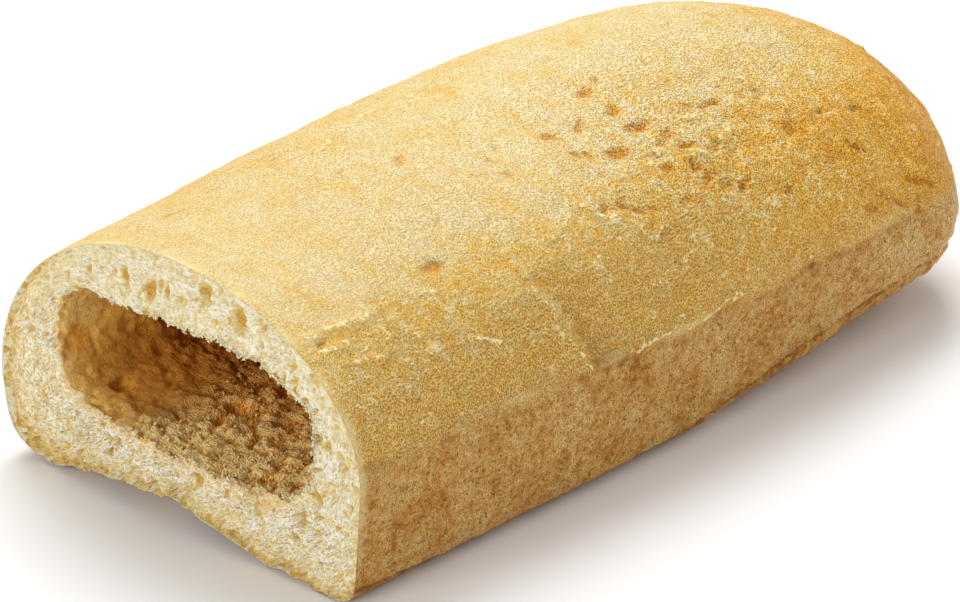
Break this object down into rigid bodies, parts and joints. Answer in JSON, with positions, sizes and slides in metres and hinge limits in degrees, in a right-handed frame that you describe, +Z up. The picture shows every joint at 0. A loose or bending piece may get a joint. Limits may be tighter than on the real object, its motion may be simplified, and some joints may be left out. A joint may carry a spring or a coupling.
{
  "type": "french hot dog bun",
  "caption": "Soft white bun with a golden crust, cut square at one end and hollowed along its length so that a sausage slides in.",
  "frame": {"origin": "on the surface the bun stands on, under the middle of its box", "axes": "+X along the bun from the cut end to the round nose, +Z up, the side with the shoulder fold at -Y"},
  "size_m": [0.14, 0.072, 0.0429],
  "materials": {
    "bread": "matt baked bread: golden mottled crust over pale open crumb"
  },
  "bodies": {
    "root": {"bun": "bread"}
  },
  "joints": []
}
